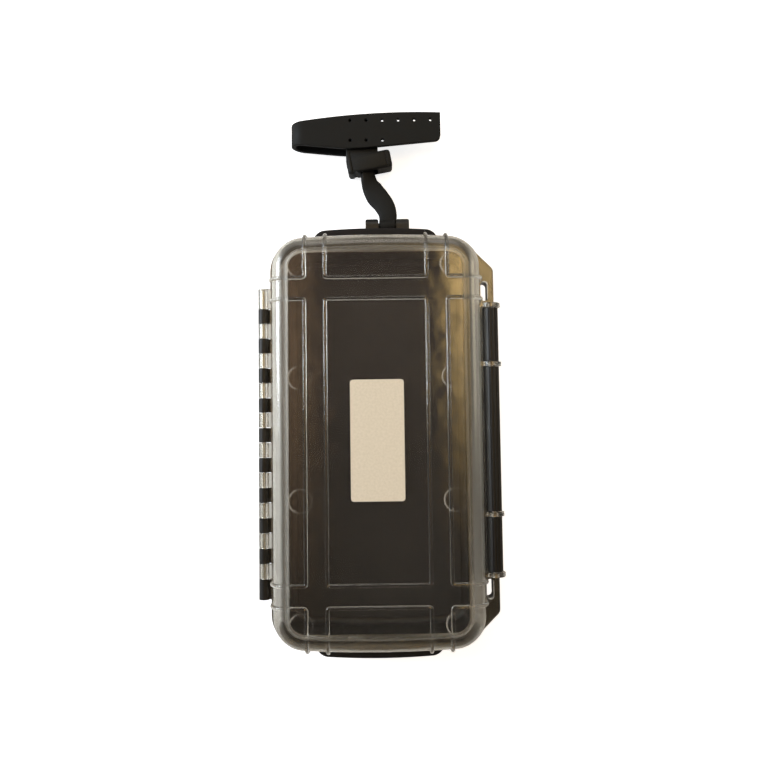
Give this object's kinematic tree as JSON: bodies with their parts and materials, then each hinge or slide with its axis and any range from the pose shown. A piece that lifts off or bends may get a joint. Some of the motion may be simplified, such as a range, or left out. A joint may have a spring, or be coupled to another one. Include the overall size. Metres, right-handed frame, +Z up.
{
  "type": "dry box",
  "caption": "Hard waterproof phone case with a clear ribbed lid, black base, pinned side hinge, long side latch and a wrist strap.",
  "frame": {"origin": "middle of the lid in plan, on the flat underside of the base", "axes": "+Z up through the lid, +X from the hinge to the latch, +Y to the end with the wrist strap"},
  "size_m": [0.1229, 0.2878, 0.045],
  "materials": {
    "black_shell": "moulded black plastic with a fine texture",
    "bumper_rubber": "soft black rubber, matt",
    "liner_rubber": "matt dark rubber pad",
    "seal_rubber": "smooth dark seal",
    "pin_steel": "drawn stainless pin",
    "clear_lid": "clear moulded plastic",
    "label_white": "blank satin sticker",
    "latch_black": "moulded black plastic",
    "strap_rubber": "smooth black rubber",
    "keeper_black": "satin black plastic"
  },
  "bodies": {
    "base": {"base_shell": "black_shell", "strap_end_bumper": "bumper_rubber", "plain_end_bumper": "bumper_rubber", "floor_liner": "liner_rubber", "rim_seal": "seal_rubber", "hinge_pin": "pin_steel", "strap_pin": "pin_steel"},
    "lid": {"lid_shell": "clear_lid", "lid_label": "label_white", "latch_pin": "pin_steel"},
    "latch": {"latch_lever": "latch_black"},
    "strap": {"strap_neck": "strap_rubber", "strap_keeper": "keeper_black", "strap_band": "strap_rubber"}
  },
  "joints": [
    {"name": "lid_hinge", "type": "hinge", "parent": "base", "child": "lid", "pos_m": [-0.05805, -0.0008, 0.0271], "axis": [0, -1, 0], "range_deg": [0, 180]},
    {"name": "latch_hinge", "type": "hinge", "parent": "lid", "child": "latch", "pos_m": [0.0572, 0, 0.0365], "axis": [0, -1, 0], "range_deg": [0, 105]},
    {"name": "strap_swing", "type": "hinge", "parent": "base", "child": "strap", "pos_m": [0.0064, 0.1147, 0.011], "axis": [1, 0, 0], "range_deg": [0, 90]}
  ]
}
